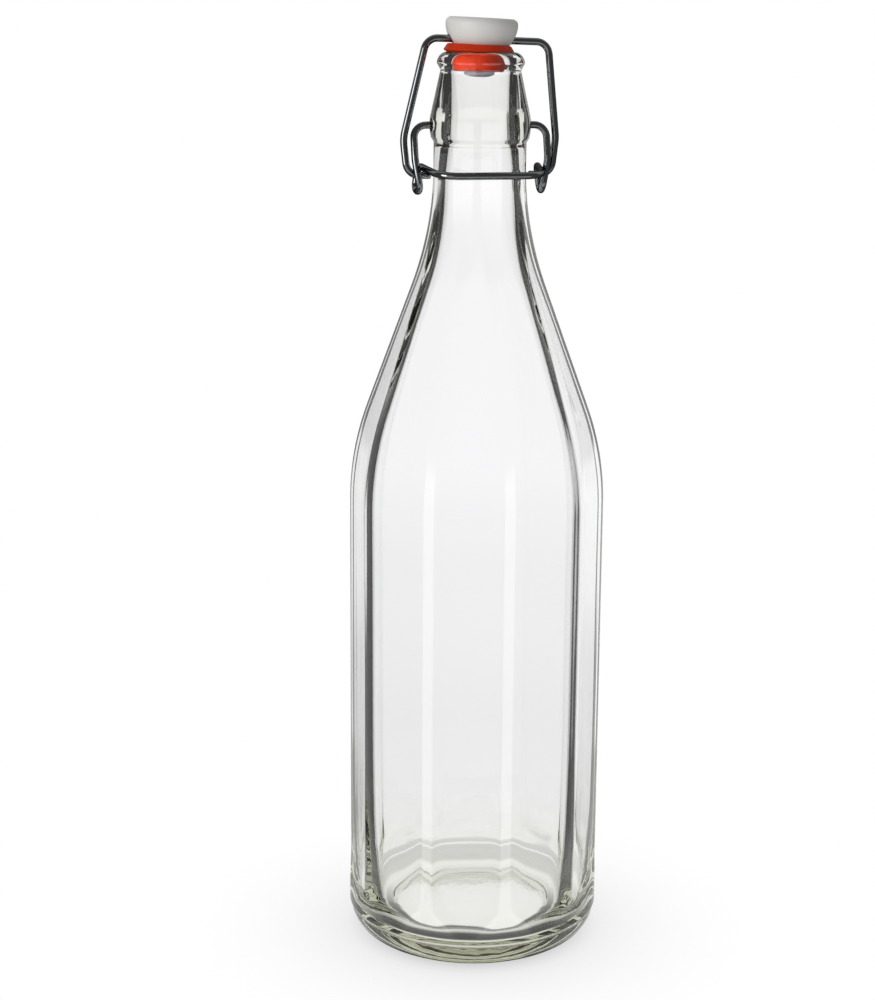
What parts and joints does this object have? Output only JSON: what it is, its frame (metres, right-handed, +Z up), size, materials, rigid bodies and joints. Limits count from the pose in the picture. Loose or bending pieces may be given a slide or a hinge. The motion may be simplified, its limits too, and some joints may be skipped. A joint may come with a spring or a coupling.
{
  "type": "swing top bottle",
  "caption": "Tall faceted clear glass bottle with a sloping shoulder and a swing top: a rubber-sealed stopper held on the mouth by a wire bail and a wire toggle lever.",
  "frame": {"origin": "middle of the base, on the surface that the bottle stands on", "axes": "+Z up the bottle's axis, +X along the lever's pivot axis, -Y towards the lever's push bar"},
  "size_m": [0.0874, 0.0874, 0.3174],
  "materials": {
    "glass": "clear, fire polished",
    "stopper": "smooth white moulding",
    "gasket": "smooth moulded rubber",
    "wire": "satin drawn wire"
  },
  "bodies": {
    "bottle": {"bottle": "glass"},
    "lever": {"lever": "wire"},
    "bail": {"bail": "wire"},
    "stopper": {"stopper": "stopper", "gasket": "gasket"}
  },
  "joints": [
    {"name": "lever_pivot", "type": "hinge", "parent": "bottle", "child": "lever", "pos_m": [0, 0, 0.28242], "axis": [-1, 0, 0], "range_deg": [0, 85]},
    {"name": "bail_pivot", "type": "hinge", "parent": "lever", "child": "bail", "pos_m": [0, 0, 0.26607], "axis": [-1, 0, 0], "range_deg": [-57, 0]},
    {"name": "stopper_swivel", "type": "hinge", "parent": "bail", "child": "stopper", "pos_m": [0, 0, 0.31029], "axis": [-0.999, 0, 0.0436], "range_deg": [-28.1, 0]}
  ],
  "couplings": [
    {"joint": "bail_pivot", "follows": "lever_pivot", "ratio": -0.67},
    {"joint": "stopper_swivel", "follows": "lever_pivot", "ratio": -0.33}
  ]
}
